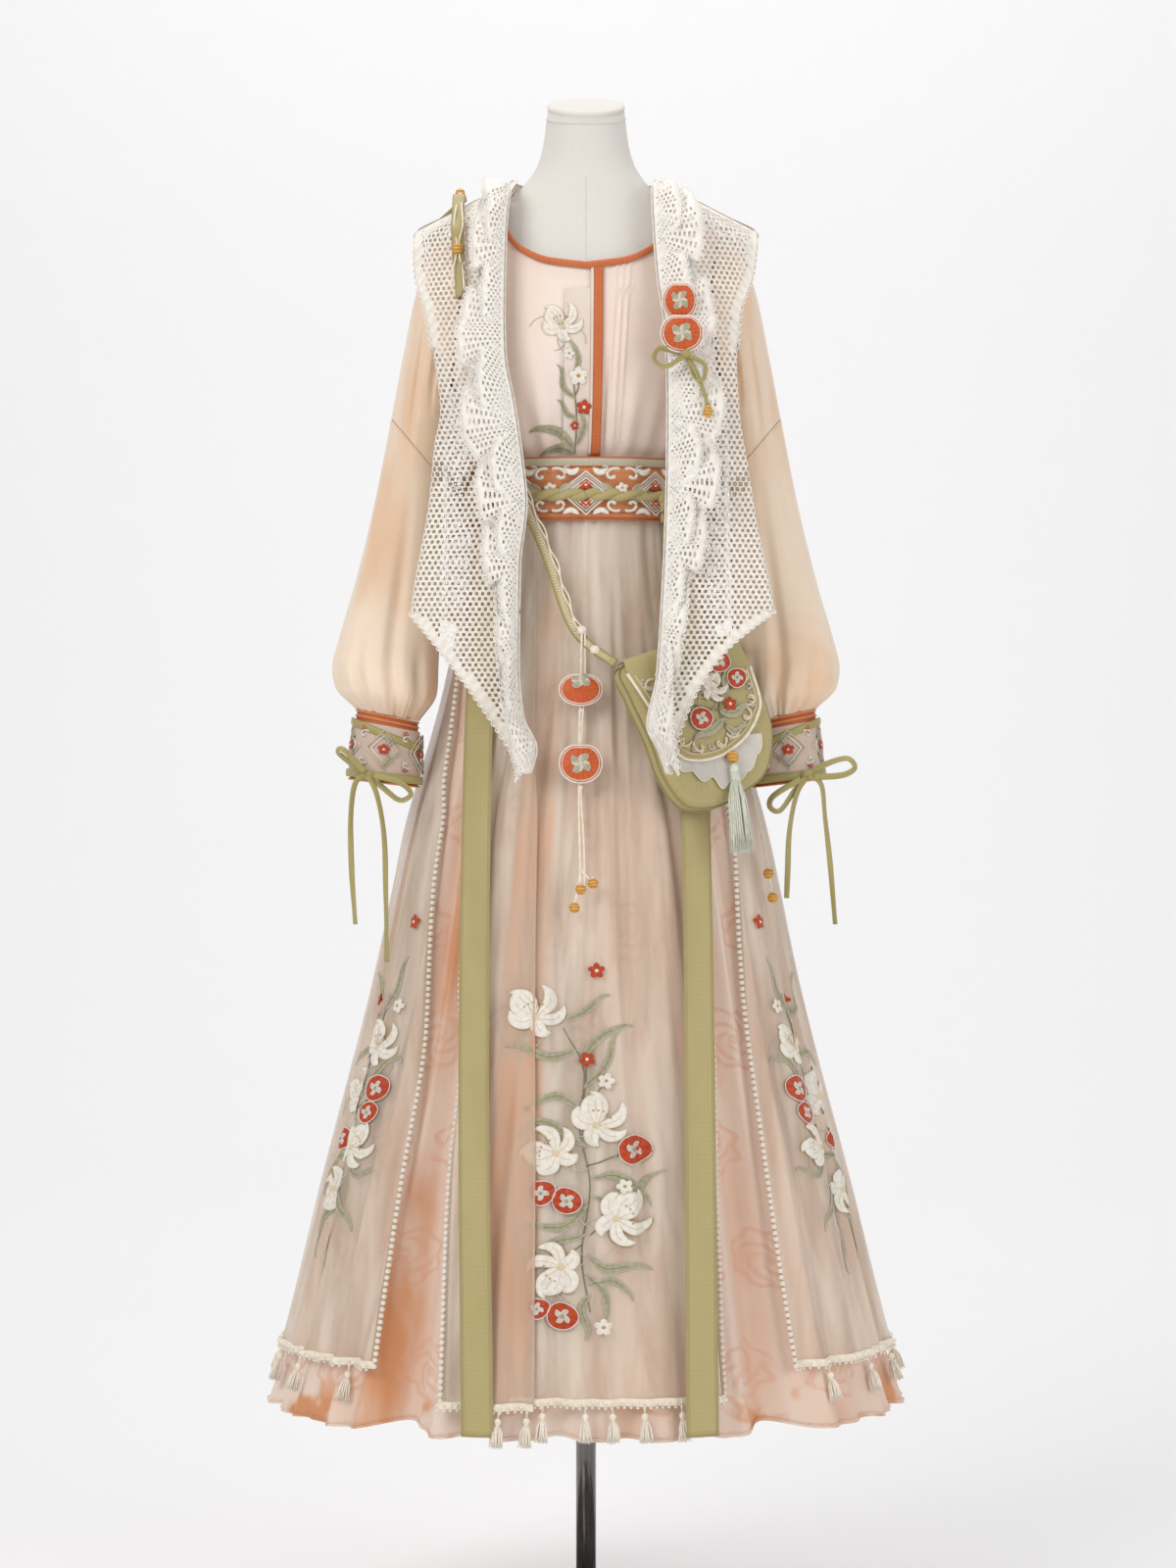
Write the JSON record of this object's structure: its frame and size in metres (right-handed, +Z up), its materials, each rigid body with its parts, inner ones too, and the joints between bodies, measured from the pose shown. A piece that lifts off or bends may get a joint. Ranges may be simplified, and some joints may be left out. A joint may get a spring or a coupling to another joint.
{
  "type": "hanfu skirt set on a limbless dress form",
  "caption": "Hanfu-style set of blouse, belted layered skirt, crocheted vest, shoulder bag and pendants, hung on a limbless dress form on a pole and round base.",
  "frame": {"origin": "middle of the underside of the stand's base, on the floor", "axes": "+Z up; the garment's front faces -Y; +X to the wearer's left"},
  "size_m": [0.7014, 0.6007, 1.7008],
  "materials": {
    "wood_bead": "polished wood",
    "green_satin": "matt satin",
    "sheer_organza": "sheer organza",
    "tassel_silk": "silk thread",
    "belt_brocade": "embroidered brocade",
    "blouse_silk": "soft sheer silk",
    "persimmon": "padded embroidery",
    "orange_binding": "matt bias binding",
    "cuff_brocade": "embroidered brocade",
    "form_metal": "satin grey metal",
    "form_linen": "matt woven linen",
    "cream_trim": "matt braid and thread",
    "skirt_jacquard": "tone on tone jacquard",
    "sleeve_silk": "soft sheer silk",
    "crochet_cotton": "open crochet cotton"
  },
  "bodies": {
    "root": {"bag_bead": "wood_bead", "bag_body": "green_satin", "bag_flap": "green_satin", "bag_organza": "sheer_organza", "bag_strap_back": "green_satin", "bag_strap_front": "green_satin", "bag_tassel": "tassel_silk", "belt": "belt_brocade", "belt_cord": "green_satin", "blouse_back": "blouse_silk", "blouse_front_left": "blouse_silk", "blouse_front_right": "blouse_silk", "brooch_bead": "wood_bead", "brooch_lower": "persimmon", "brooch_ribbon": "green_satin", "brooch_upper": "persimmon", "cuff_left": "orange_binding", "cuff_right": "orange_binding", "cuff_tie_left": "green_satin", "cuff_tie_right": "green_satin", "cuff_tie_upper_left": "green_satin", "cuff_tie_upper_right": "green_satin", "cuff_wrap_left": "cuff_brocade", "cuff_wrap_right": "cuff_brocade", "form_base": "form_metal", "form_body": "form_linen", "form_neck_cap": "form_linen", "form_pole": "form_metal", "front_strip": "orange_binding", "hem_trim_front": "cream_trim", "hem_trim_lap": "cream_trim", "hem_trim_left": "cream_trim", "hem_trim_right": "cream_trim", "hip_cord": "cream_trim", "neck_binding": "orange_binding", "overskirt_front": "sheer_organza", "overskirt_lap": "sheer_organza", "overskirt_left": "sheer_organza", "overskirt_right": "sheer_organza", "pendant_cord": "cream_trim", "pendant_lower": "persimmon", "pendant_upper": "persimmon", "sash_left": "green_satin", "sash_right": "green_satin", "shoulder_bead_lower": "wood_bead", "shoulder_bead_upper": "wood_bead", "skirt_back": "skirt_jacquard", "skirt_front": "skirt_jacquard", "sleeve_lower_left": "sleeve_silk", "sleeve_lower_right": "sleeve_silk", "sleeve_upper_left": "sleeve_silk", "sleeve_upper_right": "sleeve_silk", "vest_back": "crochet_cotton", "vest_collar": "crochet_cotton", "vest_front_left": "crochet_cotton", "vest_front_right": "crochet_cotton", "vest_ruffle_left": "crochet_cotton", "vest_ruffle_right": "crochet_cotton"}
  },
  "joints": []
}
